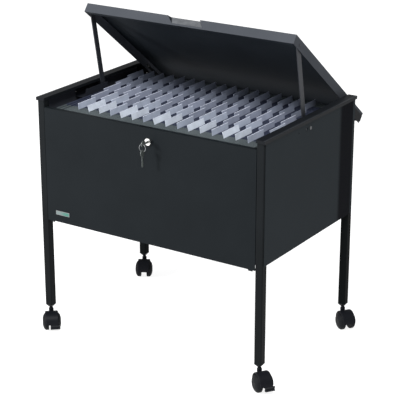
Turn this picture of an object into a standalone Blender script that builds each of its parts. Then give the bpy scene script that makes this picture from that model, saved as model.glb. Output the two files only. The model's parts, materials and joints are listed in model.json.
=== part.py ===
"""Lockable suspension-file trolley in powder-coated sheet steel, lid raised on two swing arms.

World frame: origin on the floor midway between the four legs, +X right, +Y to the rear, +Z up.
Every driving dimension is named below in millimetres and turned into metres by MM.
"""
import math

import bmesh
import bpy
from mathutils import Matrix, Vector

MM = 0.001

# ---- frame and cabinet ----
WIDTH = 650.0          # over the outer faces of the legs
DEPTH = 438.0          # over the front and rear faces of the legs
TOP = 620.0            # top of the side rails, and of the lid when it is shut
POST = 20.0            # square leg tube
WALL = 1.2             # every sheet and tube
GAP = 0.3              # fitting gap between neighbouring pieces
LEG_BOTTOM = 64.0
FRONT_TOP = TOP - 24.0
FRONT_BOTTOM = 302.0
REAR_TOP = TOP - 36.0
SIDE_BOTTOM = 315.0
TRAY_BOTTOM = 316.0
RETURN = 12.0          # folded returns on the front and rear panels
RAIL_OVER = 2.0        # how far the side rails run past the legs

# ---- lid and its swing arms, in the depth direction measured from the front of the legs ----
LID_HALF = 300.0
LID_DEPTH = 446.0
LID_SKIRT = 23.5
LID_ANGLE = 38.2       # slope of the raised lid
PIN_S = 29.0           # upper arm pivot, back from the lid's front edge
PIN_T = 14.0           # upper arm pivot and guide slot, below the lid's top
ARM_FOOT = (231.0, TOP - 24.0)
ARM_LENGTH = 202.25
ARM_TURN = 76.4
GUIDE = (433.0, TOP - 14.0)
ARM_INNER = 295.0       # swing arm, measured out from the middle
ARM_OUTER = 297.5
EAR = 291.0             # inner face of the bracket that carries the arm
SCREW_Z = TOP - 22.0
SCREW_D = 207.0
PIN_R = 2.5

# ---- casters ----
WHEEL_R = 22.5
TRAIL = 19.0
HOOD_R = 26.8
HOOD_IN = 23.6
HOOD_HALF = 16.5
HOOD_END = -2.0
CASTERS = (
    ("FL", -1, 0, -49.0, True),
    ("FR", 1, 0, -35.0, True),
    ("RR", 1, 1, -37.0, False),
    ("RL", -1, 1, -59.0, False),
)

# ---- lock ----
LOCK_X = 9.5
LOCK_Z = TOP - 56.0
SLOT_LEFT = LOCK_X - 29.0
SLOT_RIGHT = LOCK_X + 6.3

# ---- files ----
FILE_BLOCKS = 6
FILE_HALF = 288.0
FILE_GAP = 1.5
RAIL_FRONT = 24.0
RAIL_REAR = 414.0
FILE_RAIL_TOP = TOP - 32.0


def depth(value):
    """World Y of a distance measured back from the front faces of the legs."""
    return value - DEPTH / 2


for old in list(bpy.data.objects):
    bpy.data.objects.remove(old)
PARTS = bpy.data.collections.new("file_trolley")
TOOLS = bpy.data.collections.new("cutters")
bpy.context.scene.collection.children.link(PARTS)
bpy.context.scene.collection.children.link(TOOLS)


def material(name, colour, metallic, roughness):
    made = bpy.data.materials.new(name)
    made.use_nodes = True
    shader = made.node_tree.nodes["Principled BSDF"]
    shader.inputs["Base Color"].default_value = (*colour, 1.0)
    shader.inputs["Metallic"].default_value = metallic
    shader.inputs["Roughness"].default_value = roughness
    return made


COAT = material("anthracite powder coat", (0.022, 0.025, 0.028), 0.0, 0.45)
PLASTIC = material("black plastic", (0.015, 0.016, 0.018), 0.0, 0.5)
TREAD = material("grey-black rubber", (0.02, 0.02, 0.022), 0.0, 0.7)
ZINC = material("zinc-plated steel", (0.62, 0.63, 0.65), 1.0, 0.3)
NICKEL = material("nickel plate", (0.7, 0.7, 0.69), 1.0, 0.22)
PAPER = material("blue-white card", (0.62, 0.65, 0.78), 0.0, 0.6)
LABEL = material("silver label", (0.5, 0.58, 0.6), 0.0, 0.4)


def add(name, mesh_builder, mat, origin=(0, 0, 0), turn=None, tool=False, smooth=False):
    """One object from a bmesh drawn in millimetres about its own origin."""
    mesh = bpy.data.meshes.new(name)
    bmesh.ops.scale(mesh_builder, vec=(MM, MM, MM), verts=mesh_builder.verts)
    mesh_builder.to_mesh(mesh)
    mesh_builder.free()
    obj = bpy.data.objects.new(name, mesh)
    (TOOLS if tool else PARTS).objects.link(obj)
    obj.location = Vector(origin) * MM
    if turn is not None:
        obj.rotation_euler = turn
    if tool:
        obj.hide_render = True
        obj.display_type = "WIRE"
    else:
        mesh.materials.append(mat)
    if smooth:
        for face in mesh.polygons:
            face.use_smooth = True
    return obj


def box_mesh(lo, hi):
    bm = bmesh.new()
    bmesh.ops.create_cube(bm, size=1.0)
    size = [hi[i] - lo[i] for i in range(3)]
    middle = [(hi[i] + lo[i]) / 2 for i in range(3)]
    bmesh.ops.scale(bm, vec=size, verts=bm.verts)
    bmesh.ops.translate(bm, vec=middle, verts=bm.verts)
    return bm


def cylinder_mesh(radius, start, end, axis, sides=32, far_radius=None):
    """A cylinder (or cone) from start to end along X, Y or Z; start holds all three coordinates."""
    bm = bmesh.new()
    length = abs(end - start[axis])
    tip = radius if far_radius is None else far_radius
    bmesh.ops.create_cone(bm, cap_ends=True, segments=sides, radius1=radius, radius2=tip, depth=length)
    if axis == 0:
        bmesh.ops.rotate(bm, cent=(0, 0, 0), matrix=Matrix.Rotation(math.pi / 2, 3, "Y"), verts=bm.verts)
    if axis == 1:
        bmesh.ops.rotate(bm, cent=(0, 0, 0), matrix=Matrix.Rotation(math.pi / 2, 3, "X"), verts=bm.verts)
    middle = list(start)
    middle[axis] = (start[axis] + end) / 2
    bmesh.ops.translate(bm, vec=middle, verts=bm.verts)
    return bm


def prism_mesh(points, low, high, axis):
    """A flat outline drawn out along one axis; points give the other two coordinates in order."""
    bm = bmesh.new()
    corners = []
    for a, b in points:
        corner = [a, b]
        corner.insert(axis, low)
        corners.append(bm.verts.new(corner))
    face = bm.faces.new(corners)
    drawn = bmesh.ops.extrude_face_region(bm, geom=[face])
    moved = [item for item in drawn["geom"] if isinstance(item, bmesh.types.BMVert)]
    shift = [0, 0, 0]
    shift[axis] = high - low
    bmesh.ops.translate(bm, vec=shift, verts=moved)
    bmesh.ops.recalc_face_normals(bm, faces=bm.faces)
    return bm


def surface_mesh(points, faces):
    """An open surface whose faces turn their fronts outwards; Solidify gives it its thickness."""
    bm = bmesh.new()
    verts = [bm.verts.new(point) for point in points]
    for face in faces:
        bm.faces.new([verts[i] for i in face])
    return bm


def thicken(obj, amount=WALL):
    solid = obj.modifiers.new("sheet", "SOLIDIFY")
    solid.thickness = amount * MM
    solid.offset = -1.0
    solid.use_even_offset = True
    return solid


def boolean(obj, tool, operation):
    step = obj.modifiers.new(operation.lower(), "BOOLEAN")
    step.operation = operation
    step.solver = "EXACT"
    step.object = tool


def cut(obj, tool):
    boolean(obj, tool, "DIFFERENCE")


def join(obj, tool):
    boolean(obj, tool, "UNION")


def bevel(obj, width, segments=2):
    step = obj.modifiers.new("edges", "BEVEL")
    step.width = width * MM
    step.segments = segments
    step.limit_method = "ANGLE"
    step.angle_limit = math.radians(40)


def ring_of_square(bm, half, z):
    return [bm.verts.new((x * half, y * half, z)) for x, y in ((1, 1), (-1, 1), (-1, -1), (1, -1))]


# ================================ legs and their plastic feet ================================
for tag, sx, rear, heading, braked in CASTERS:
    px = sx * (WIDTH - POST) / 2
    py = depth(POST / 2 + rear * (DEPTH - POST))
    half = POST / 2
    leg = add(f"leg_{tag}", box_mesh((-half, -half, LEG_BOTTOM), (half, half, TOP - 1.6)), COAT, (px, py, 0))
    rounded = leg.modifiers.new("corners", "BEVEL")
    rounded.width = 2.5 * MM
    rounded.segments = 3
    rounded.limit_method = "WEIGHT"
    weights = leg.data.attributes.new("bevel_weight_edge", "FLOAT", "EDGE")
    for edge in leg.data.edges:
        one, two = (leg.data.vertices[i].co for i in edge.vertices)
        weights.data[edge.index].value = 1.0 if abs(one.z - two.z) > 0.1 else 0.0
    hollow = half - WALL
    inside = box_mesh((-hollow, -hollow, LEG_BOTTOM - 5), (hollow, hollow, TOP + 5))
    cut(leg, add(f"leg_bore_{tag}", inside, None, (px, py, 0), tool=True))

    plug = bmesh.new()
    rings = [
        ring_of_square(plug, 4.0, 55.8),
        ring_of_square(plug, half, LEG_BOTTOM - GAP),
        ring_of_square(plug, hollow - 0.4, LEG_BOTTOM - GAP),
        ring_of_square(plug, hollow - 0.4, 80.0),
    ]
    for lower, upper in zip(rings, rings[1:]):
        for i in range(4):
            plug.faces.new((lower[i], lower[(i + 1) % 4], upper[(i + 1) % 4], upper[i]))
    plug.faces.new(rings[-1])
    plug.faces.new(rings[0][::-1])
    bmesh.ops.recalc_face_normals(plug, faces=plug.faces)
    foot = add(f"leg_plug_{tag}", plug, PLASTIC, (px, py, 0))
    cut(foot, add(f"plug_bore_{tag}", cylinder_mesh(3.3, (0, 0, 50), 85, 2), None, (px, py, 0), tool=True))

    # ---------------- twin-wheel caster: X trails, Y is the axle, Z is the swivel ----------------
    spin = (0, 0, math.radians(heading))
    add(f"caster_stem_{tag}", cylinder_mesh(3.0, (0, 0, 46), 84, 2), ZINC, (px, py, 0), smooth=False)

    arch = bmesh.new()
    rim = HOOD_HALF
    outline = (
        (HOOD_IN, -rim), (HOOD_R - 1.2, -rim), (HOOD_R, 1.6 - rim), (HOOD_R, rim - 1.6), (HOOD_R - 1.2, rim), (HOOD_IN, rim),
    )
    steps = 22
    first, last = math.radians(HOOD_END), math.radians(168)
    loops = []
    for k in range(steps + 1):
        turn = first + (last - first) * k / steps
        loops.append([
            arch.verts.new((TRAIL + r * math.cos(turn), y, WHEEL_R + r * math.sin(turn))) for r, y in outline
        ])
    for one, two in zip(loops, loops[1:]):
        for i in range(6):
            arch.faces.new((one[i], one[(i + 1) % 6], two[(i + 1) % 6], two[i]))
    arch.faces.new(loops[0])
    arch.faces.new(loops[-1][::-1])
    bmesh.ops.recalc_face_normals(arch, faces=arch.faces)
    hood = add(f"caster_hood_{tag}", arch, PLASTIC, (px, py, 0), spin)
    web = []
    for k in range(19):
        turn = first + (last - first) * k / 18
        web.append((TRAIL + 25.2 * math.cos(turn), WHEEL_R + 25.2 * math.sin(turn)))
    for k in range(7):
        turn = last + math.radians(10) + math.radians(152) * k / 6
        web.append((TRAIL + 7 * math.cos(turn), WHEEL_R + 7 * math.sin(turn)))
    join(hood, add(f"hood_web_{tag}", prism_mesh(web, -3.0, 3.0, 1), None, (px, py, 0), spin, tool=True))
    column = box_mesh((-5.2, -3.0, 30.0), (5.2, 3.0, 47.0))
    join(hood, add(f"hood_column_{tag}", column, None, (px, py, 0), spin, tool=True))
    boss = cylinder_mesh(6.2, (0, 0, 43), 50.5, 2, 28)
    join(hood, add(f"hood_boss_{tag}", boss, None, (px, py, 0), spin, tool=True))
    neck = cylinder_mesh(6.0, (0, 0, 50.2), 55.2, 2, 28, 3.9)
    join(hood, add(f"hood_neck_{tag}", neck, None, (px, py, 0), spin, tool=True))
    socket = cylinder_mesh(3.08, (0, 0, 44.5), 60, 2)
    cut(hood, add(f"hood_socket_{tag}", socket, None, (px, py, 0), spin, tool=True))
    eye = cylinder_mesh(2.08, (TRAIL, -8, WHEEL_R), 8, 1, 24)
    cut(hood, add(f"hood_eye_{tag}", eye, None, (px, py, 0), spin, tool=True))

    ax = px + TRAIL * math.cos(spin[2])
    ay = py + TRAIL * math.sin(spin[2])
    axle = cylinder_mesh(2.0, (0, -18.5, 0), 18.5, 1, 24)
    add(f"caster_axle_{tag}", axle, ZINC, (ax, ay, WHEEL_R), spin)
    for side, sign in (("a", -1), ("b", 1)):
        tyre = bmesh.new()
        section = (
            (0, 8), (WHEEL_R - 1, 8), (WHEEL_R, 9), (WHEEL_R, 15), (21.8, 17), (19.6, 19.4),
            (15.6, 21.8), (9.0, 23.5), (0, 23.5),
        )
        edge_points = [tyre.verts.new((r, y * sign, 0)) for r, y in section]
        edges = [tyre.edges.new(pair) for pair in zip(edge_points, edge_points[1:])]
        bmesh.ops.spin(
            tyre, geom=edge_points + edges, cent=(0, 0, 0), axis=(0, 1, 0), angle=2 * math.pi, steps=36
        )
        bmesh.ops.remove_doubles(tyre, verts=tyre.verts, dist=1e-4)
        bmesh.ops.recalc_face_normals(tyre, faces=tyre.faces)
        wheel = add(f"caster_wheel_{tag}_{side}", tyre, TREAD, (ax, ay, WHEEL_R), spin)
        hub = cylinder_mesh(2.08, (0, sign * 4, 0), sign * 19, 1, 24)
        cut(wheel, add(f"hub_{tag}_{side}", hub, None, (ax, ay, WHEEL_R), spin, tool=True))

    if braked:
        # flap that carries the hood's curve on over the gap and one wheel, and ends in a toe lip
        pivot = math.radians(HOOD_END - 1.8)
        hx_local = TRAIL + (HOOD_R - 1.0) * math.cos(pivot)
        hz = WHEEL_R + (HOOD_R - 1.0) * math.sin(pivot)
        flap = []
        for k in range(7):
            turn = math.radians(HOOD_END - 1.2 - 21.0 * k / 6)
            flap.append((TRAIL + 24.8 * math.cos(turn) - hx_local, WHEEL_R + 24.8 * math.sin(turn) - hz))
        low = math.radians(HOOD_END - 24.0)
        flap.append((TRAIL + 26.0 * math.cos(low) - hx_local, WHEEL_R + 26.0 * math.sin(low) - hz - 0.6))
        flap.append((TRAIL + 32.5 * math.cos(low) - hx_local, WHEEL_R + 31.0 * math.sin(low) - hz + 1.8))
        flap.append((TRAIL + 32.5 * math.cos(low) - hx_local, WHEEL_R + 29.0 * math.sin(low) - hz + 2.8))
        for k in range(7):
            turn = math.radians(HOOD_END - 19.0 + 17.8 * k / 6)
            flap.append((TRAIL + HOOD_R * math.cos(turn) - hx_local, WHEEL_R + HOOD_R * math.sin(turn) - hz))
        hx = px + hx_local * math.cos(spin[2])
        hy = py + hx_local * math.sin(spin[2])
        plate = prism_mesh(flap, -4.5, 20.5, 1)
        add(f"brake_pedal_{tag}", plate, PLASTIC, (hx, hy, hz), spin)

# ================================ sheet-metal cabinet ================================
inner = WIDTH / 2 - POST - GAP
outer = WIDTH / 2 + GAP


def panel(name, profile, half_width):
    """A folded panel: its outside profile in depth and height, carried from side to side."""
    points = []
    for x in (-half_width, half_width):
        points += [(x, depth(d), z) for d, z in profile]
    count = len(profile)
    faces = [(i, i + 1, i + 1 + count, i + count) for i in range(count - 1)]
    obj = add(name, surface_mesh(points, faces), COAT)
    thicken(obj)
    return obj


front = panel(
    "front_panel",
    (
        (RETURN, FRONT_BOTTOM),
        (0, FRONT_BOTTOM),
        (0, FRONT_TOP),
        (RETURN, FRONT_TOP),
        (RETURN, FRONT_TOP - 10),
    ),
    inner,
)
front.data.flip_normals()
rear_panel = panel(
    "rear_panel",
    (
        (DEPTH - RETURN, FRONT_BOTTOM),
        (DEPTH, FRONT_BOTTOM),
        (DEPTH, REAR_TOP),
        (DEPTH - RETURN, REAR_TOP),
        (DEPTH - RETURN, REAR_TOP - 10),
    ),
    inner,
)
for x in (-290.0, 292.0):
    stop = box_mesh((x - 6, depth(0), FRONT_BOTTOM - 3), (x + 6, depth(WALL), FRONT_BOTTOM + 1))
    join(front, add(f"front_tab_{'L' if x < 0 else 'R'}", stop, None, tool=True))
lock_hole = cylinder_mesh(7.6, (LOCK_X, depth(-6), LOCK_Z), depth(6), 1, 40)
cut(front, add("front_lock_hole", lock_hole, None, tool=True))
cam_slot = box_mesh((SLOT_LEFT, depth(4), FRONT_TOP - 4), (SLOT_RIGHT, depth(10), FRONT_TOP + 4))
cut(front, add("front_cam_slot", cam_slot, None, tool=True))

for tag, sx in (("L", -1), ("R", 1)):
    near, far = sorted((sx * outer, sx * (outer + WALL)))
    sheet = box_mesh((near, depth(5), SIDE_BOTTOM), (far, depth(433), TOP - 2.1))
    side = add(f"side_panel_{tag}", sheet, COAT)
    for index, (d, z, r) in enumerate((
        (SCREW_D, SCREW_Z, 2.1), (SCREW_D - 16, SCREW_Z, 4.6), (SCREW_D - 53, SCREW_Z, 1.9),
    )):
        drill = cylinder_mesh(r, (sx * (outer - 3), depth(d), z), sx * (outer + 5), 0, 24)
        cut(side, add(f"side_hole_{tag}_{index}", drill, None, tool=True))

    # inverted channel over the tops of the two legs and the side panel, closed at both ends
    xi = WIDTH / 2 - POST - GAP - 1.1
    xo = WIDTH / 2 + 3.0
    lo, hi = depth(-RAIL_OVER), depth(DEPTH + RAIL_OVER)
    drop_in, drop_out = TOP - 7.0, TOP - 8.0
    corners = [
        (sx * xi, lo, TOP), (sx * xo, lo, TOP), (sx * xo, hi, TOP), (sx * xi, hi, TOP),
        (sx * xi, lo, drop_in), (sx * xo, lo, drop_out), (sx * xo, hi, drop_out), (sx * xi, hi, drop_in),
    ]
    walls = [(0, 1, 2, 3), (4, 5, 1, 0), (5, 6, 2, 1), (6, 7, 3, 2), (7, 4, 0, 3)]
    if sx < 0:
        walls = [wall[::-1] for wall in walls]
    cap = add(f"top_rail_{tag}", surface_mesh(corners, walls), COAT)
    thicken(cap, 1.1)

# base tray: a pan with a square notch at each corner for the legs
tx = WIDTH / 2
ty0, ty1 = 1.5, DEPTH - 1.5
nx = WIDTH / 2 - POST - GAP
ny0, ny1 = POST + GAP, DEPTH - POST - GAP
plan = (
    (-nx, ty0), (nx, ty0), (nx, ny0), (tx, ny0), (tx, ny1), (nx, ny1),
    (nx, ty1), (-nx, ty1), (-nx, ny1), (-tx, ny1), (-tx, ny0), (-nx, ny0),
)
pan = [(x, depth(d), TRAY_BOTTOM) for x, d in plan] + [(x, depth(d), TRAY_BOTTOM + 20) for x, d in plan]
count = len(plan)
pan_faces = [tuple(range(count))[::-1]]
pan_faces += [(i, (i + 1) % count, (i + 1) % count + count, i + count) for i in range(count)]
tray = add("base_tray", surface_mesh(pan, pan_faces), COAT)
thicken(tray)

for name, d in (("file_rail_front", RAIL_FRONT), ("file_rail_rear", RAIL_REAR)):
    add(name, box_mesh((-tx, depth(d - 1), FILE_RAIL_TOP - 12), (tx, depth(d + 1), FILE_RAIL_TOP)), COAT)

# ================================ brackets, guide pins and screws ================================
foot_d, foot_z = ARM_FOOT
for tag, sx in (("L", -1), ("R", 1)):
    shelf = TOP - 36.0
    profile = ((325.0, TOP - 14.5), (325.0, shelf), (EAR, shelf), (EAR, shelf + 24))
    points = []
    for d in (152, 242):
        points += [(sx * x, depth(d), z) for x, z in profile]
    faces = [(i, i + 4, i + 5, i + 1) for i in range(3)]
    if sx > 0:
        faces = [face[::-1] for face in faces]
    bracket = add(f"arm_bracket_{tag}", surface_mesh(points, faces), COAT)
    thicken(bracket, 1.5)
    stub = cylinder_mesh(PIN_R, (sx * (EAR + 0.7), depth(foot_d), foot_z), sx * (ARM_OUTER + 0.7), 0, 24)
    join(bracket, add(f"bracket_pin_{tag}", stub, None, tool=True))
    drill = cylinder_mesh(2.1, (sx * 320, depth(SCREW_D), SCREW_Z), sx * 330, 0, 24)
    cut(bracket, add(f"bracket_hole_{tag}", drill, None, tool=True))

    shank = cylinder_mesh(1.8, (sx * 321.0, depth(SCREW_D), SCREW_Z), sx * 327.4, 0, 24)
    screw = add(f"side_screw_{tag}", shank, ZINC)
    head = cylinder_mesh(4.4, (sx * 326.8, depth(SCREW_D), SCREW_Z), sx * 328.2, 0, 24)
    join(screw, add(f"screw_head_{tag}", head, None, tool=True))

    post_pin = cylinder_mesh(4.0, (sx * 295.8, depth(GUIDE[0]), GUIDE[1]), sx * (WIDTH / 2 - POST - GAP), 0, 32)
    add(f"guide_pin_{tag}", post_pin, ZINC)

# ================================ lid ================================
# drawn shut about its upper arm pivot, then tipped up by the slope it rests at
foot = Vector((0, depth(foot_d), foot_z))
slope = math.radians(LID_ANGLE)
shut_arm = Vector((0, PIN_S - foot_d, TOP - PIN_T - foot_z))
open_arm = Matrix.Rotation(-math.radians(ARM_TURN), 3, "X") @ shut_arm
hinge = foot + open_arm
tip = (-slope, 0, 0)


def lid_point(x, s, t):
    """A lid point from x, the distance back from its front edge and the depth below its top."""
    return (x, s - PIN_S, PIN_T - t)


h = LID_HALF
k = LID_SKIRT
lid_points = [
    lid_point(-h, 0, 0), lid_point(h, 0, 0), lid_point(h, LID_DEPTH, 0), lid_point(-h, LID_DEPTH, 0),
    lid_point(-h, 0, k), lid_point(-h + 4, 0, k), lid_point(SLOT_LEFT, 0, k), lid_point(SLOT_RIGHT, 0, k),
    lid_point(h - 4, 0, k), lid_point(h, 0, k), lid_point(h, LID_DEPTH, k), lid_point(-h, LID_DEPTH, k),
    lid_point(-h + 4, 12, k), lid_point(SLOT_LEFT, 12, k), lid_point(SLOT_RIGHT, 12, k), lid_point(h - 4, 12, k),
]
lid_faces = [
    (0, 1, 2, 3),
    (0, 4, 5, 6, 7, 8, 9, 1),
    (1, 9, 10, 2),
    (2, 10, 11, 3),
    (3, 11, 4, 0),
    (5, 12, 13, 6),
    (7, 14, 15, 8),
]
lid = add("lid", surface_mesh(lid_points, lid_faces), COAT, hinge, tip)
thicken(lid)


def wedge_mesh(left, right, deep, low, front, top):
    """Three-cornered block under the lid's front edge; left and right hold x at its three corners."""
    bm = bmesh.new()
    ends = []
    for front_x, deep_x, low_x in (left, right):
        ends.append([
            bm.verts.new(lid_point(front_x, front, top)),
            bm.verts.new(lid_point(deep_x, deep, top)),
            bm.verts.new(lid_point(low_x, front, low)),
        ])
    bm.faces.new(ends[0])
    bm.faces.new(ends[1][::-1])
    for i in range(3):
        j = (i + 1) % 3
        bm.faces.new((ends[0][i], ends[1][i], ends[1][j], ends[0][j]))
    bmesh.ops.recalc_face_normals(bm, faces=bm.faces)
    return bm


# finger recess: a sheet pocket behind the front edge, then the hollow itself
pocket = wedge_mesh((-59.6, -53.8, -39.4), (36.4, 35.4, 51.6), 10.4, 21.66, 0.3, 0.3)
join(lid, add("recess_sheet", pocket, None, hinge, tip, tool=True))
hollow = wedge_mesh((-58.8, -52.3, -37.2), (34.3, 33.9, 50.7), 9.8, 21.0, -0.7, -1.0)
cut(lid, add("recess_hollow", hollow, None, hinge, tip, tool=True))
for tag, sx in (("L", -1), ("R", 1)):
    start, end = sorted((sx * (h - 5), sx * (h + 5)))
    eye = cylinder_mesh(2.6, (start, 0, 0), end, 0, 24)
    cut(lid, add(f"lid_eye_{tag}", eye, None, hinge, tip, tool=True))
    run_from, run_to = 333.2 - PIN_S, 433.8 - PIN_S
    outline = []
    for index in range(13):
        turn = math.pi / 2 + math.pi * index / 12
        outline.append((run_from + 4.2 * math.cos(turn), 4.2 * math.sin(turn)))
    for index in range(13):
        turn = -math.pi / 2 + math.pi * index / 12
        outline.append((run_to + 4.2 * math.cos(turn), 4.2 * math.sin(turn)))
    cut(lid, add(f"lid_track_{tag}", prism_mesh(outline, start, end, 0), None, hinge, tip, tool=True))

    # swing arm drawn upright about its foot, then leaned to its resting direction
    low_x, high_x = sorted((sx * ARM_INNER, sx * ARM_OUTER))
    bar = []
    for index in range(13):
        turn = math.pi * index / 12
        bar.append((8 * math.cos(turn), ARM_LENGTH + 8 * math.sin(turn)))
    for index in range(13):
        turn = math.pi + math.pi * index / 12
        bar.append((8 * math.cos(turn), 8 * math.sin(turn)))
    lean = (math.atan2(-open_arm.y, open_arm.z), 0, 0)
    arm = add(f"lid_arm_{tag}", prism_mesh(bar, low_x, high_x, 0), COAT, foot, lean)
    low_pin, high_pin = sorted((sx * (ARM_OUTER - 1), sx * (LID_HALF + 1.5)))
    peg = cylinder_mesh(PIN_R, (low_pin, 0, ARM_LENGTH), high_pin, 0, 24)
    join(arm, add(f"arm_peg_{tag}", peg, None, foot, lean, tool=True))
    low_eye, high_eye = sorted((sx * (ARM_INNER - 5), sx * (ARM_OUTER + 5)))
    eye = cylinder_mesh(2.6, (low_eye, 0, 0), high_eye, 0, 24)
    cut(arm, add(f"arm_eye_{tag}", eye, None, foot, lean, tool=True))

# ================================ lock, keys and ring ================================
lock = (LOCK_X, depth(0), LOCK_Z)
bezel = add("lock_barrel", cylinder_mesh(7.3, (0, -0.8, 0), 5.0, 1, 40), NICKEL, lock)
join(bezel, add("barrel_flange", cylinder_mesh(8.6, (0, -6.2, 0), -0.3, 1, 40), None, lock, tool=True))
cut(bezel, add("barrel_bore", cylinder_mesh(5.6, (0, -10, 0), 12, 1, 32), None, lock, tool=True))
core = add("lock_cam", cylinder_mesh(5.5, (0, -6.8, 0), 6.5, 1, 32), NICKEL, lock)
tongue = ((-40, -4), (-40, 12), (-36.6, 12), (-36.6, 4), (-6, 7), (7, 7), (7, -7), (-6, -7))
join(core, add("cam_tongue", prism_mesh(tongue, 5.6, 7.6, 1), None, lock, tool=True))
keyway = box_mesh((-1.3, -8, -3.6), (1.3, 3.0, 3.6))
cut(core, add("core_keyway", keyway, None, lock, tool=True))


def key_mesh(back, front_end):
    """A flat key: blade along Y from back to front_end, round bow with a hole at its far end."""
    bow_y = front_end - 6.4
    outline = [(back, -2.6), (back, 1.4), (back - 2, 2.6), (front_end + 1.0, 2.6)]
    for index in range(25):
        turn = math.radians(20 + (360 - 40) * index / 24)
        outline.append((bow_y + 8 * math.cos(turn), 8 * math.sin(turn)))
    outline.append((front_end + 1.0, -2.6))
    return prism_mesh(outline, -1.0, 1.0, 0)


main_key = add("key", key_mesh(2.4, -17.0), NICKEL, lock)
bore = cylinder_mesh(2.4, (-4, -27.0, 0), 4, 0, 24)
cut(main_key, add("key_eye", bore, None, lock, tool=True))

ring_top = (LOCK_X, depth(-27.0), LOCK_Z)
hoop = bmesh.new()
major, minor = 9.0, 0.8
for i in range(40):
    around = 2 * math.pi * i / 40
    for j in range(10):
        tube = 2 * math.pi * j / 10
        r = major + minor * math.cos(tube)
        hoop.verts.new((r * math.sin(around), minor * math.sin(tube), -major + r * math.cos(around)))
hoop.verts.ensure_lookup_table()
for i in range(40):
    for j in range(10):
        a, b = i * 10 + j, i * 10 + (j + 1) % 10
        c, d = ((i + 1) % 40) * 10 + (j + 1) % 10, ((i + 1) % 40) * 10 + j
        hoop.faces.new([hoop.verts[n] for n in (a, b, c, d)])
bmesh.ops.recalc_face_normals(hoop, faces=hoop.faces)
add("key_ring", hoop, NICKEL, ring_top, smooth=True)

spare_top = (LOCK_X, depth(-27.0), LOCK_Z - 2 * major)
spare_mesh = key_mesh(38.0, 10.0)
bmesh.ops.rotate(spare_mesh, cent=(0, 0, 0), matrix=Matrix.Rotation(-math.pi / 2, 3, "X"), verts=spare_mesh.verts)
spare = add("spare_key", spare_mesh, NICKEL, spare_top)
cut(spare, add("spare_eye", cylinder_mesh(2.4, (-4, 0, 0), 4, 0, 24), None, spare_top, tool=True))

badge = add("badge", box_mesh(
    (-278, depth(-1.4), FRONT_BOTTOM + 19.5), (-236, depth(-0.3), FRONT_BOTTOM + 30.5)
), LABEL)
bevel(badge, 0.3, 1)

# ================================ hanging files ================================
pitch = 2 * FILE_HALF / FILE_BLOCKS
hang = FILE_RAIL_TOP
low = TRAY_BOTTOM + 24
file_outline = (
    (34, low), (404, low), (404, hang - 4), (412, hang + 0.4), (416.5, hang + 0.4), (416.5, hang - 5),
    (419, hang - 5), (419, hang + 4), (401, hang + 4), (401, hang + 17), (36, hang + 17), (36, hang + 4),
    (19, hang + 4), (19, hang - 5), (21.5, hang - 5), (21.5, hang + 0.4), (26, hang + 0.4), (34, hang - 4),
)
for index in range(FILE_BLOCKS):
    x0 = -FILE_HALF + index * pitch + FILE_GAP / 2
    x1 = x0 + pitch - FILE_GAP
    shape = [(depth(d), z) for d, z in file_outline]
    add(f"files_{index + 1}", prism_mesh(shape, x0, x1, 0), PAPER)

for obj in PARTS.objects:
    if obj.name.startswith(("caster_wheel", "caster_axle", "caster_stem", "guide_pin")):
        for face in obj.data.polygons:
            face.use_smooth = len(face.vertices) == 4
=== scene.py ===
"""Looks for the suspension-file trolley: materials, the hanging files, small trim, light and camera."""

import json
import math

import bmesh
import bpy
from mathutils import Matrix, Vector


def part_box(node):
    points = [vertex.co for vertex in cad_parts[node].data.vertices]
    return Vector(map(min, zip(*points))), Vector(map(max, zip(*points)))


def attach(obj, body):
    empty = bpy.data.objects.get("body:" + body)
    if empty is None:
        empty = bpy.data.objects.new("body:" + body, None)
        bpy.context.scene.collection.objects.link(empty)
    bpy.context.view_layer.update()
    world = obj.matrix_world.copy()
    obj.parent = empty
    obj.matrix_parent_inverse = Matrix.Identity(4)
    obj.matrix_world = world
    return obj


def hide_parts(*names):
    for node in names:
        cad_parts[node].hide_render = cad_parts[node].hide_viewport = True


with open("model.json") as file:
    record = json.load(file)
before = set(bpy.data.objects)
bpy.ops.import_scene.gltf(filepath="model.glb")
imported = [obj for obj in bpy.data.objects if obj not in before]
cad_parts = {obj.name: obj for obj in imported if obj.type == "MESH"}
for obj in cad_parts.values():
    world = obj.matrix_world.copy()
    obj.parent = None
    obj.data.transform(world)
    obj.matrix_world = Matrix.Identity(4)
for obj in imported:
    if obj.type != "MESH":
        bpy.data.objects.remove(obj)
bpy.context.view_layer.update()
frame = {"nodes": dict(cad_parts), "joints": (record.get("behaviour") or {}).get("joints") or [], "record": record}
nodes = frame["nodes"]
scene = bpy.context.scene
MM = 0.001


# ------------------------------------------------------------------ material helpers
NOISE_SPAN = (0.3, 0.7)     # the noise values between which a finish goes from its first tone to its second
BLOTCH = 9.0                # scale of the slow drift on large sheets
SLOW_DETAIL = 4.0
FINE_DETAIL = 3.0
# surface grains
SHEET = {"grain": 1500, "depth": 0.00003}       # powder coat on sheet and tube
MOULDED = {"grain": 2200, "depth": 0.00003}
TURNED = {"grain": 1600, "depth": 0.00002, "blotch": 120}
KEYS = {"grain": 2200, "depth": 0.00002, "blotch": 160}


def new_material(name):
    """A new material, its node tree and its Principled shader."""
    material = bpy.data.materials.new(name)
    material.use_nodes = True
    tree = material.node_tree
    return material, tree, tree.nodes["Principled BSDF"]


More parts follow.
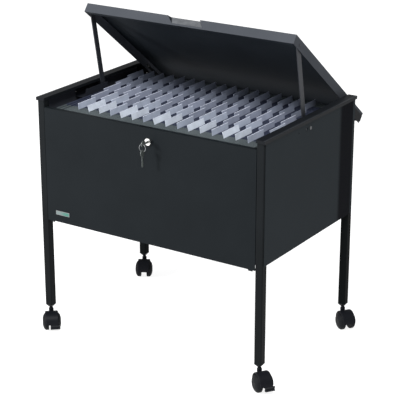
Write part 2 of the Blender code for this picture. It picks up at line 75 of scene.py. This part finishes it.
def noise_on(tree, scale, detail, stretch=(1, 1, 1)):
    """Noise in object space, where one unit is a metre."""
    coords = tree.nodes.new("ShaderNodeTexCoord")
    mapping = tree.nodes.new("ShaderNodeMapping")
    mapping.inputs["Scale"].default_value = stretch
    texture = tree.nodes.new("ShaderNodeTexNoise")
    texture.inputs["Scale"].default_value = scale
    texture.inputs["Detail"].default_value = detail
    tree.links.new(coords.outputs["Object"], mapping.inputs["Vector"])
    tree.links.new(mapping.outputs["Vector"], texture.inputs["Vector"])
    return texture.outputs["Fac"]


def tones_on(tree, noise, tones):
    """A colour that drifts between two tones with the noise."""
    ramp = tree.nodes.new("ShaderNodeValToRGB")
    for point, place, tone in zip(ramp.color_ramp.elements, NOISE_SPAN, tones):
        point.position = place
        point.color = (*tone, 1.0)
    tree.links.new(noise, ramp.inputs["Fac"])
    return ramp.outputs["Color"]


def roughness_on(tree, shader, noise, rough):
    """Roughness that drifts between two values with the noise."""
    span = tree.nodes.new("ShaderNodeMapRange")
    span.inputs["From Min"].default_value, span.inputs["From Max"].default_value = NOISE_SPAN
    span.inputs["To Min"].default_value, span.inputs["To Max"].default_value = rough
    tree.links.new(noise, span.inputs["Value"])
    tree.links.new(span.outputs["Result"], shader.inputs["Roughness"])


def bump_on(tree, shader, noise, depth):
    """A surface grain as deep as depth, in metres."""
    bump = tree.nodes.new("ShaderNodeBump")
    bump.inputs["Distance"].default_value = depth
    bump.inputs["Strength"].default_value = 1.0
    tree.links.new(noise, bump.inputs["Height"])
    tree.links.new(bump.outputs["Normal"], shader.inputs["Normal"])


def finish(name, dark, light, rough, metallic=0.0, specular=0.5, grain=900, depth=0.00004,
           stretch=(1, 1, 1), blotch=BLOTCH):
    """One procedural finish: slow colour drift, uneven gloss and a fine surface grain."""
    material, tree, shader = new_material(name)
    slow = noise_on(tree, blotch, SLOW_DETAIL)
    tree.links.new(tones_on(tree, slow, (dark, light)), shader.inputs["Base Color"])
    roughness_on(tree, shader, slow, rough)
    bump_on(tree, shader, noise_on(tree, grain, FINE_DETAIL, stretch), depth)
    shader.inputs["Metallic"].default_value = metallic
    shader.inputs["Specular IOR Level"].default_value = specular
    return material


def math_on(tree, operation, first, second=0.0):
    """One Math node; each input is a socket or a number."""
    node = tree.nodes.new("ShaderNodeMath")
    node.operation = operation
    for socket, value in zip(node.inputs, (first, second)):
        if isinstance(value, float):
            socket.default_value = value
        else:
            tree.links.new(value, socket)
    return node.outputs["Value"]


def span_on(tree, value, start, end):
    """0 below start, 1 above end, and smooth between them."""
    node = tree.nodes.new("ShaderNodeMapRange")
    node.interpolation_type = "SMOOTHSTEP"
    node.inputs["From Min"].default_value = start
    node.inputs["From Max"].default_value = end
    tree.links.new(value, node.inputs["Value"])
    return node.outputs["Result"]


def axes_of(tree, vector):
    """The X, Y and Z outputs of a vector socket."""
    axes = tree.nodes.new("ShaderNodeSeparateXYZ")
    tree.links.new(vector, axes.inputs["Vector"])
    return axes.outputs


def layered(name, tones, layers, rough, specular):
    """A coat whose tone changes by place on the object: each layer has a share function and its tones."""
    material, tree, shader = new_material(name)
    slow = noise_on(tree, BLOTCH, SLOW_DETAIL)
    coords = tree.nodes.new("ShaderNodeTexCoord")
    place = axes_of(tree, coords.outputs["Object"])
    normal = axes_of(tree, coords.outputs["Normal"])
    colour = tones_on(tree, slow, tones)
    for share, layer_tones in layers:
        mix = tree.nodes.new("ShaderNodeMix")
        mix.data_type = "RGBA"
        tree.links.new(share(tree, place, normal), mix.inputs["Factor"])
        tree.links.new(colour, mix.inputs["A"])
        tree.links.new(tones_on(tree, slow, layer_tones), mix.inputs["B"])
        colour = mix.outputs["Result"]
    tree.links.new(colour, shader.inputs["Base Color"])
    roughness_on(tree, shader, slow, rough)
    bump_on(tree, shader, noise_on(tree, SHEET["grain"], FINE_DETAIL), SHEET["depth"])
    shader.inputs["Specular IOR Level"].default_value = specular
    return material


# ------------------------------------------------------------------ finishes of one tone
COAT = finish("powder_coat", (0.0054, 0.0071, 0.0085), (0.0066, 0.0085, 0.0101), (0.46, 0.54),
              specular=0.05, **SHEET)
# painted shade: the rear legs get a darker copy of the leg coat
COAT_REAR_SHADED = finish("powder_coat_rear_legs_painted_shade", (0.0034, 0.0042, 0.0044), (0.0046, 0.0055, 0.0058), (0.46, 0.54),
                   specular=0.015, **SHEET)
# painted light: the coat inside the cabinet, lighter than the outer coat where the inside lies in shade
COAT_IN_PAINTED_LIGHT = finish("powder_coat_inside_painted_light", (0.016, 0.018, 0.0235), (0.021, 0.0235, 0.030), (0.4, 0.5),
                 specular=0.15, **SHEET)
COAT_ARM = finish("powder_coat_arms", (0.018, 0.020, 0.024), (0.025, 0.027, 0.032), (0.4, 0.5),
                  specular=0.2, **SHEET)
# painted highlight: a lighter coat for the recess's sloped face, which catches the light
RECESS_HIGHLIGHT = finish("recess_face_highlight", (0.060, 0.064, 0.070), (0.095, 0.100, 0.108), (0.35, 0.5),
              specular=0.3, depth=0.00003, blotch=60)
PLASTIC = finish("moulded_nylon", (0.0044, 0.0050, 0.0068), (0.0066, 0.0072, 0.0094), (0.42, 0.52),
                 specular=0.06, **MOULDED)
PEDAL = finish("pedal_nylon", (0.012, 0.013, 0.0155), (0.016, 0.017, 0.020), (0.42, 0.52),
               specular=0.1, **MOULDED)
RUBBER = finish("wheel_tread", (0.0048, 0.0053, 0.0065), (0.0070, 0.0078, 0.0092), (0.45, 0.6),
                specular=0.06, grain=1800, depth=0.00005)
ZINC = finish("zinc_plate", (0.20, 0.205, 0.21), (0.34, 0.345, 0.35), (0.3, 0.42), metallic=1.0, **TURNED)
# screw metal much darker than the zinc plate
SCREW = finish("dark_screw_metal", (0.030, 0.032, 0.034), (0.075, 0.078, 0.082), (0.3, 0.42),
               metallic=0.6, **TURNED)
NICKEL = finish("nickel_plate", (0.62, 0.61, 0.60), (0.78, 0.77, 0.75), (0.14, 0.24), metallic=1.0,
                grain=2500, depth=0.00001, blotch=90)
KEY_METAL = finish("key_metal", (0.026, 0.032, 0.031), (0.070, 0.080, 0.077), (0.34, 0.46),
                   metallic=0.35, **KEYS)
RING_METAL = finish("ring_metal", (0.20, 0.21, 0.215), (0.40, 0.41, 0.42), (0.2, 0.3), metallic=1.0, **KEYS)
FOLDER = finish("folder_card", (0.030, 0.036, 0.062), (0.042, 0.050, 0.082), (0.6, 0.75),
                specular=0.15, grain=1100, depth=0.00008)
HANGER = finish("hanger_bar", (0.064, 0.078, 0.084), (0.094, 0.111, 0.117), (0.4, 0.5),
                specular=0.25, **SHEET)
# the tabs' rolled folds: a light tone, partly the fold's own and partly a painted highlight where light falls on
# the front tabs
TAB_FOLD_HIGHLIGHT = finish("tab_fold_painted_highlight", (0.58, 0.62, 0.74), (0.70, 0.74, 0.84), (0.3, 0.4), grain=1200, depth=0.00003)
SILVER = finish("badge_border", (0.12, 0.13, 0.13), (0.16, 0.17, 0.17), (0.3, 0.4), metallic=0.3,
                grain=1500, depth=0.00002, stretch=(1, 1, 12))

# the tabs' card, from the rear column's to the front one's: how light it is and its tint; the rear columns are
# darker as painted shade under the lid
TAB_SHADE_LOOKS = (
    (0.31, (0.70, 0.78, 1.0)),
    (0.35, (0.70, 0.78, 1.0)),
    (0.39, (0.71, 0.78, 1.0)),
    (0.51, (0.74, 0.82, 1.0)),
    (0.70, (0.82, 0.89, 1.0)),
)
TAB_DARKER = 0.82           # the card's darker tone, as a share of its light one
TAB_SHADE_CARDS = [finish(f"tab_card_painted_shade_{n}", tuple(TAB_DARKER * value * c for c in tint), tuple(value * c for c in tint),
               (0.4, 0.55), grain=700, blotch=45)
        for n, (value, tint) in enumerate(TAB_SHADE_LOOKS)]


# ------------------------------------------------------------------ coats whose tone changes by place: painted shade, painted light and painted highlights, and the badge's colours
# the lid's own frame has its origin between the arms' upper pins;
# Y runs to the lid's rear edge and Z is square to its sheet
tilt = next(joint for joint in frame["joints"] if joint["name"] == "lid_tilt")
tilt_angle = math.radians(tilt["range_deg"][0])
lid_turn = Matrix.Translation(Vector(tilt["pos_m"])) @ Matrix.Rotation(tilt_angle, 4, "X")
lid_points = [lid_turn.inverted() @ vertex.co for vertex in nodes["lid"].data.vertices]
lid_front = min(point.y for point in lid_points)
lid_sheet = max(point.z for point in lid_points)
lid_side = max(point.x for point in lid_points)

side_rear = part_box("side_panel_R")[1].y
panel_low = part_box("front_panel")[0].z
rail_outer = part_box("top_rail_R")[1].x
badge_low, badge_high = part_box("badge")

BAND_START = 83 * MM        # the side sheet's dark band of painted shade, forward of the sheet's rear edge: where it starts, where it is full and where it stops
BAND_FULL = 64 * MM         # where it starts, where it is full and where it stops
BAND_STOP = 10 * MM
INWARD = -0.05              # X times normal X, below which a side's face looks inwards
RAIL_HIGHLIGHT = 5 * MM          # width of the painted highlight along a top rail's outer edge
LEG_LIGHT_FADE = (20 * MM, 120 * MM)      # the leg's tone changes from below the panels' lower edge to above it: painted light, lighter beside the panels
FOLD_SKIN = 0.5 * MM        # a point this near to the lid's outline is on a turned-down edge
BADGE_FADE = 8 * MM         # the badge's colour is even over this width at its two ends


def painted_shade_band(tree, place, normal):
    """1 in the band of painted shade in front of the side sheet's rear edge."""
    begun = span_on(tree, place["Y"], side_rear - BAND_START, side_rear - BAND_FULL)
    not_past = math_on(tree, "LESS_THAN", place["Y"], side_rear - BAND_STOP)
    return math_on(tree, "MULTIPLY", begun, not_past)


def faces_in_painted_light(tree, place, normal):
    """1 where a sheet at the side faces the inside of the cabinet; these faces get painted light."""
    return math_on(tree, "LESS_THAN", math_on(tree, "MULTIPLY", place["X"], normal["X"]), INWARD)


def painted_highlight_edge(tree, place, normal):
    """1 on the outermost millimetres of a rail's top face, where a highlight is painted."""
    up = math_on(tree, "GREATER_THAN", normal["Z"], 0.5)
    across = math_on(tree, "ABSOLUTE", place["X"])
    return math_on(tree, "MULTIPLY", up, math_on(tree, "GREATER_THAN", across, rail_outer - RAIL_HIGHLIGHT))


def painted_light_beside_panels(tree, place, normal):
    """1 on the stretch of a leg that the panels stand beside, where painted light makes it lighter."""
    below, above = LEG_LIGHT_FADE
    return span_on(tree, place["Z"], panel_low - below, panel_low + above)


def lid_folds_highlight(tree, place, normal):
    """1 on the outer faces of the lid's turned-down edges, which get a painted highlight."""
    to_lid = lid_turn.inverted()
    mapping = tree.nodes.new("ShaderNodeMapping")
    mapping.inputs["Rotation"].default_value = to_lid.to_euler()
    mapping.inputs["Location"].default_value = to_lid.to_translation()
    coords = tree.nodes.new("ShaderNodeTexCoord")
    tree.links.new(coords.outputs["Object"], mapping.inputs["Vector"])
    axes = axes_of(tree, mapping.outputs["Vector"])
    across = math_on(tree, "ABSOLUTE", axes["X"])
    on_side = math_on(tree, "GREATER_THAN", across, lid_side - FOLD_SKIN)
    on_front = math_on(tree, "LESS_THAN", axes["Y"], lid_front + FOLD_SKIN)
    return math_on(tree, "MAXIMUM", on_side, on_front)


def left_to_right(tree, place, normal):
    """Rises from 0 at the badge's left end to 1 at its right end."""
    return span_on(tree, place["X"], badge_low.x + BADGE_FADE, badge_high.x - BADGE_FADE)


COAT_LID = layered("powder_coat_lid", ((0.0102, 0.0127, 0.0163), (0.0154, 0.0186, 0.0232)), (
    # painted light: the inward faces lighter than the lid's outer coat
    (faces_in_painted_light, ((0.048, 0.053, 0.063), (0.061, 0.066, 0.078))),
    # painted highlight: the turned-down edges lighter than the lid's sheet
    (lid_folds_highlight, ((0.040, 0.044, 0.051), (0.049, 0.053, 0.061))),
), rough=(0.50, 0.58), specular=0.012)
COAT_SIDE = layered("powder_coat_sides", ((0.0165, 0.0200, 0.0227), (0.0187, 0.0225, 0.0255)), (
    # painted shade: a dark band in front of the sheet's rear edge
    (painted_shade_band, ((0.0016, 0.0020, 0.0034), (0.0026, 0.0030, 0.0046))),
    # painted light: the inward faces lighter than the sheet's outer coat
    (faces_in_painted_light, ((0.052, 0.056, 0.070), (0.064, 0.069, 0.084))),
), rough=(0.46, 0.54), specular=0.01)
COAT_RAIL = layered("powder_coat_rails", ((0.0058, 0.0068, 0.0084), (0.0074, 0.0085, 0.0104)), (
    # painted highlight along the rail's outer edge
    (painted_highlight_edge, ((0.017, 0.019, 0.022), (0.022, 0.024, 0.027))),
), rough=(0.42, 0.5), specular=0.06)
COAT_LEG = layered("powder_coat_front_legs_painted_light", ((0.0052, 0.0060, 0.0066), (0.0070, 0.0080, 0.0087)), (
    # painted light: the stretch beside the panels lighter than the lower leg
    (painted_light_beside_panels, ((0.0068, 0.0080, 0.0090), (0.0082, 0.0096, 0.0107))),
), rough=(0.46, 0.54), specular=0.03)
TEAL = layered("badge_field", ((0.10, 0.13, 0.13), (0.13, 0.16, 0.16)), (
    (left_to_right, ((0.030, 0.125, 0.098), (0.042, 0.150, 0.120))),
), rough=(0.3, 0.4), specular=0.3)


# ------------------------------------------------------------------ finishes onto the CAD nodes
SLOT_FINISH = {
    "powder_coat": COAT,
    "black_plastic": PLASTIC,
    "wheel_rubber": RUBBER,
    "zinc_steel": ZINC,
    "nickel": NICKEL,
    "file_card": FOLDER,
    "label": SILVER,
}
# nodes whose finish differs from their slot's, by the start of their name; the last that fits holds
NODE_FINISH = (
    (("leg_FL", "leg_FR"), COAT_LEG),
    (("leg_RL", "leg_RR"), COAT_REAR_SHADED),
    (("side_panel",), COAT_SIDE),
    (("top_rail",), COAT_RAIL),
    (("lid",), COAT_LID),
    (("lid_arm",), COAT_ARM),
    (("base_tray", "file_rail", "arm_bracket"), COAT_IN_PAINTED_LIGHT),
    (("key", "spare_key"), KEY_METAL),
    (("key_ring",), RING_METAL),
    (("side_screw",), SCREW),
    (("brake_pedal",), PEDAL),
)
# folded sheet, whose edges catch the light
SHEET_NODES = ("front_panel", "rear_panel", "side_panel_L", "side_panel_R", "top_rail_L", "top_rail_R",
               "lid", "lid_arm_L", "lid_arm_R")
EDGE_ROUND = 0.4 * MM
EDGE_ANGLE = math.radians(35)

slot_of = {entry["node"]: entry["material_slot"] for entry in frame["record"]["subparts"]}
for name, obj in nodes.items():
    material = SLOT_FINISH[slot_of[name]]
    for starts, special in NODE_FINISH:
        if name.startswith(starts):
            material = special
    obj.data.materials.clear()
    obj.data.materials.append(material)

for name in SHEET_NODES:
    soft = nodes[name].modifiers.new("edge", "BEVEL")
    soft.width = EDGE_ROUND
    soft.segments = 2
    soft.limit_method = "ANGLE"
    soft.angle_limit = EDGE_ANGLE


# ------------------------------------------------------------------ mesh helpers
def piece(name, bm, material, body):
    """A finished object from a bmesh, riding on a body."""
    mesh = bpy.data.meshes.new(name)
    bmesh.ops.recalc_face_normals(bm, faces=bm.faces)
    bm.to_mesh(mesh)
    bm.free()
    obj = bpy.data.objects.new(name, mesh)
    scene.collection.objects.link(obj)
    mesh.materials.append(material)
    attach(obj, body)
    return obj


def slab(bm, low, high):
    """A box between two corners."""
    made = bmesh.ops.create_cube(bm, size=1.0)["verts"]
    size = [high[i] - low[i] for i in range(3)]
    middle = [(high[i] + low[i]) / 2 for i in range(3)]
    bmesh.ops.scale(bm, vec=size, verts=made)
    bmesh.ops.translate(bm, vec=middle, verts=made)


def prism(bm, near, far):
    """A closed solid between two outlines that have the same number of points."""
    count = len(near)
    for k in range(count):
        bm.faces.new((near[k], near[(k + 1) % count], far[(k + 1) % count], far[k]))
    bm.faces.new(near)
    bm.faces.new(far[::-1])


def strip(bm, profile, near, far):
    """A closed bar from an (x, z) outline, carried from near to far in Y."""
    ends = [[bm.verts.new((x, y, z)) for x, z in profile] for y in (near, far)]
    prism(bm, *ends)


# ------------------------------------------------------------------ hanging files
FILES = 88
NO_FILE = (1, 3)            # these two places at the left end hang empty
FILE_FIRST = -286 * MM
FILE_STEP = 6.5 * MM
FILE_DRIFT = 0.6 * MM       # how far a file strays from its even place

CARD_FRONT = 64 * MM        # the card's two ends, back from the front legs' faces
CARD_REAR = 384 * MM
CARD_LIFT = 2 * MM          # its lower edge, over the undersides of the CAD blocks that it replaces
CARD_DROP = 0.5 * MM        # the leaves meet their rolls this far below the rails' tops
LEAF_HALF = 0.25 * MM       # half the card's thickness
LEAF_SPREAD = 1.5 * MM      # half the gap between a pocket's two leaves at the top
LEAF_CLOSED = 0.5 * MM      # and at the bottom
# half width, bottom and top over the rails: the card's roll and the bare bar beside it, the slim bar that
# runs all along, and its hooks
ROLL = (0.8 * MM, -0.7 * MM, 3.3 * MM)
BAR = (0.5 * MM, 0.6 * MM, 3.0 * MM)
HOOK = (0.5 * MM, -4.8 * MM, 1.0 * MM)
BAR_INSET = 0.2 * MM        # the bars end this far inside the CAD blocks' ends
BAR_TIP = 8 * MM            # the bar's slim tip over the rail
HOOK_LONG = 2 * MM

ROW_FRONT = 8               # the file whose tab is the front one of the first full row
LAST_ROW = 88               # no tab belongs to a row further right than this one
TAB_COLUMNS = 5
FOLD_COLUMNS = 3            # the front columns, whose tabs get their rolled folds in a light tone as a painted highlight
TAB_FIRST = 45 * MM         # the front column's place, back from the front legs' faces
TAB_STEP = 70.5 * MM
TAB_LONG = 70.3 * MM
TAB_HALF = 0.3 * MM         # half the tab's thickness
TAB_HIGH = 1.6 * MM         # the highest tab's top, over the CAD blocks' tops
TAB_FOOT = 1 * MM           # the tab's foot, over the rails' tops
TAB_LEAN = 3.2 * MM         # how far a tab's top leans to the left of its foot
START_DRIFT = 0.9 * MM      # how far a tab strays along the file, down and in its lean
TOP_DRIFT = 0.8 * MM
LEAN_DRIFT = 1.9 * MM
TONE_FRONT = 3.85           # the card's tone in the front column, its step darker to the next column back as painted shade, and its spread
SHADE_STEP = 0.95
TONE_DRIFT = 0.5
FOLD_HIGH = 0.8 * MM        # the fold's top over the card's
FOLD_PAST = 0.2 * MM        # the fold's length past each end of the tab
FOLD_OUTLINE = ((-0.5, -1.0), (0.5, -1.0), (0.6, -0.4), (0.2, 0.0), (-0.4, -0.1))  # mm from the tab's top

front_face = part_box("leg_FL")[0].y
files_low, files_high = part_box("files_1")
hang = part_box("file_rail_front")[1].z
tab_top = files_high.z + TAB_HIGH
card_low, card_top = files_low.z + CARD_LIFT, hang - CARD_DROP
card_near, card_far = front_face + CARD_FRONT, front_face + CARD_REAR
bar_near, bar_far = files_low.y + BAR_INSET, files_high.y - BAR_INSET

folders = bmesh.new()
hangers = bmesh.new()
tabs = [bmesh.new() for look in TAB_SHADE_LOOKS]
folds = bmesh.new()


def wobble(i, salt):
    """A small repeatable difference between one file and the next, from -1 to 1."""
    return math.sin(i * 12.9898 + salt * 78.233)


def bar(bm, x, section, near, far):
    """A bar along Y over the rails; its section is its half width, bottom and top."""
    half, low, high = section
    slab(bm, (x - half, near, hang + low), (x + half, far, hang + high))


def leaf(x, side):
    """One leaf of the pocket at x, rolled over its hanger bar, whose bare ends hook over the two rails."""
    top_x = x + side * LEAF_SPREAD
    low_x = x + side * LEAF_CLOSED
    strip(folders, ((low_x - LEAF_HALF, card_low), (low_x + LEAF_HALF, card_low),
                    (top_x + LEAF_HALF, card_top), (top_x - LEAF_HALF, card_top)), card_near, card_far)
    bar(folders, top_x, ROLL, card_near, card_far)
    bar(hangers, top_x, BAR, bar_near, bar_far)
    bar(hangers, top_x, ROLL, bar_near + BAR_TIP, card_near)
    bar(hangers, top_x, ROLL, card_far, bar_far - BAR_TIP)
    bar(hangers, top_x, HOOK, bar_near, bar_near + HOOK_LONG)
    bar(hangers, top_x, HOOK, bar_far - HOOK_LONG, bar_far)


def tab(i, x, column):
    """The leaning tab of file i at x; in the front columns it gets the rolled fold along its top, painted light as
    a highlight.
    """
    start = front_face + TAB_FIRST + TAB_STEP * column + START_DRIFT * wobble(i, 2)
    top = tab_top - TOP_DRIFT * (1 + wobble(i, 3)) / 2
    foot_x = x + LEAF_SPREAD
    head_x = foot_x - TAB_LEAN + LEAN_DRIFT * wobble(i, 4)
    foot_z, head_z = hang + TAB_FOOT, top - FOLD_HIGH
    # painted shade: the card is darker in each column further back under the lid
    tone = round(TONE_FRONT - SHADE_STEP * column + TONE_DRIFT * wobble(i, 5))
    card = tabs[min(max(tone, 0), len(tabs) - 1)]
    strip(card, ((foot_x - TAB_HALF, foot_z), (foot_x + TAB_HALF, foot_z),
                 (head_x + TAB_HALF, head_z), (head_x - TAB_HALF, head_z)), start, start + TAB_LONG)
    if column < FOLD_COLUMNS:
        strip(folds, [(head_x + across * MM, top + up * MM) for across, up in FOLD_OUTLINE],
              start - FOLD_PAST, start + TAB_LONG + FOLD_PAST)


for i in range(FILES):
    if i in NO_FILE:
        continue
    x = FILE_FIRST + FILE_STEP * i + FILE_DRIFT * wobble(i, 1)
    leaf(x, -1)
    leaf(x, 1)
    # the tab's place steps one column back for every second file to the left
    column = (ROW_FRONT - i) * (TAB_COLUMNS + 1) // 2 % TAB_COLUMNS
    if i + 2 * column <= LAST_ROW:
        tab(i, x, column)

pockets = piece("file_pockets", folders, FOLDER, "files")
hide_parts(*(name for name in nodes if name.startswith("files_")))
piece("file_hangers", hangers, HANGER, "files")
for tone, card in enumerate(tabs):
    piece(f"file_tabs_painted_shade_{tone}", card, TAB_SHADE_CARDS[tone], "files")
piece("file_tab_folds", folds, TAB_FOLD_HIGHLIGHT, "files")


# ------------------------------------------------------------------ dust strips over the lid's side tracks
SEAL_GAP = 0.2 * MM         # from the lid's side to the strip's inner face, and to its outer one
SEAL_PROUD = 0.9 * MM
SEAL_ALONG = (298 * MM, 411 * MM)       # in the lid's own frame
SEAL_HIGH = (-16.5 * MM, 6.5 * MM)
for tag, sign in (("L", -1), ("R", 1)):
    seal = bmesh.new()
    low_x, high_x = sorted((sign * (lid_side + SEAL_GAP), sign * (lid_side + SEAL_PROUD)))
    slab(seal, (low_x, SEAL_ALONG[0], SEAL_HIGH[0]), (high_x, SEAL_ALONG[1], SEAL_HIGH[1]))
    bmesh.ops.transform(seal, matrix=lid_turn, verts=seal.verts)
    piece(f"track_seal_{tag}", seal, RUBBER, "lid")


# ------------------------------------------------------------------ painted highlight on the face inside the finger recess
# millimetres: two points on the line of the recess's sloped face in the lid's side view, an upper and a lower
# one, as (back from the lid's front, down from its sheet), and the X of the recess's two ends at each
FACE_TOP, FACE_LOW = Vector((9.8, -1.0)), Vector((-0.7, 21.0))
LEFT_TOP, LEFT_LOW = -52.3, -37.2
RIGHT_TOP, RIGHT_LOW = 33.9, 50.7
FACE_INSET = 0.8            # from the recess's ends
FACE_PARTS = (0.09, 0.90)   # the stretch of the slope that the plate covers
FACE_PROUD = (0.12, 0.42)   # the plate's back and front, off the slope
face_out = Vector((FACE_TOP.y - FACE_LOW.y, FACE_LOW.x - FACE_TOP.x)).normalized()
plate = bmesh.new()
sheets = []
for proud in FACE_PROUD:
    ring = []
    for end_top, end_low, inset in ((LEFT_TOP, LEFT_LOW, FACE_INSET), (RIGHT_TOP, RIGHT_LOW, -FACE_INSET)):
        for part_way in FACE_PARTS:
            at = FACE_TOP.lerp(FACE_LOW, part_way) + face_out * proud
            x = end_top + (end_low - end_top) * part_way + inset
            corner = Vector((x * MM, lid_front + at.x * MM, lid_sheet - at.y * MM))
            ring.append(plate.verts.new(lid_turn @ corner))
    sheets.append([ring[0], ring[1], ring[3], ring[2]])
prism(plate, *sheets)
piece("recess_face", plate, RECESS_HIGHLIGHT, "lid")


# ------------------------------------------------------------------ badge field
BADGE_BORDER = 1.7 * MM
FIELD_PROUD = 0.2 * MM      # off the badge's front, and how deep the field is set into it
FIELD_DEEP = 0.6 * MM
field = bmesh.new()
slab(field, (badge_low.x + BADGE_BORDER, badge_low.y - FIELD_PROUD, badge_low.z + BADGE_BORDER),
     (badge_high.x - BADGE_BORDER, badge_low.y + FIELD_DEEP, badge_high.z - BADGE_BORDER))
piece("badge_field", field, TEAL, "cabinet")


# ------------------------------------------------------------------ stage, light, camera
FLOOR_HALF = 30.0
WHITE = (1.0, 1.0, 1.0, 1.0)

floor_material, tree, shader = new_material("studio_floor")
floor_tones = tones_on(tree, noise_on(tree, 1.5, 2.0), ((0.36, 0.36, 0.36), (0.40, 0.40, 0.40)))
tree.links.new(floor_tones, shader.inputs["Base Color"])
shader.inputs["Roughness"].default_value = 0.8
shader.inputs["Emission Color"].default_value = WHITE
shader.inputs["Emission Strength"].default_value = 0.86

grid = bmesh.new()
bmesh.ops.create_grid(grid, x_segments=1, y_segments=1, size=FLOOR_HALF)
floor_mesh = bpy.data.meshes.new("studio_floor")
grid.to_mesh(floor_mesh)
grid.free()
floor_mesh.materials.append(floor_material)
floor = bpy.data.objects.new("studio_floor", floor_mesh)
scene.collection.objects.link(floor)

scene.view_settings.view_transform = "Standard"
scene.world = bpy.data.worlds.new("studio")
scene.world.use_nodes = True
backdrop = scene.world.node_tree.nodes["Background"]
backdrop.inputs["Color"].default_value = WHITE
backdrop.inputs["Strength"].default_value = 0.45


def area_light(name, place, aim, size, power):
    """A soft box at place that faces aim; its power is in watts."""
    data = bpy.data.lights.new(name, "AREA")
    data.shape = "RECTANGLE"
    data.size, data.size_y = size
    data.energy = power
    lamp = bpy.data.objects.new(name, data)
    scene.collection.objects.link(lamp)
    lamp.location = place
    lamp.rotation_euler = (Vector(aim) - Vector(place)).to_track_quat("-Z", "Y").to_euler()


area_light("key_soft_box", place=(1.15, -1.8, 3.3), aim=(0, -0.1, 0.6), size=(1.5, 1.2), power=150)
area_light("fill_soft_box", place=(-2.0, -2.3, 1.45), aim=(0, -0.22, 0.5), size=(0.5, 0.5), power=110)
area_light("side_soft_box", place=(3.0, -0.6, 1.8), aim=(0, 0, 0.4), size=(1.8, 1.8), power=1)

lens = bpy.data.cameras.new("camera")
lens.lens = 131.90
lens.sensor_width = 36.0
lens.clip_end = 100.0
camera = bpy.data.objects.new("camera", lens)
scene.collection.objects.link(camera)
camera.location = (1.9118, -2.8984, 1.6240)
camera.rotation_euler = (math.radians(69.823), 0.0, math.radians(33.281))
scene.camera = camera
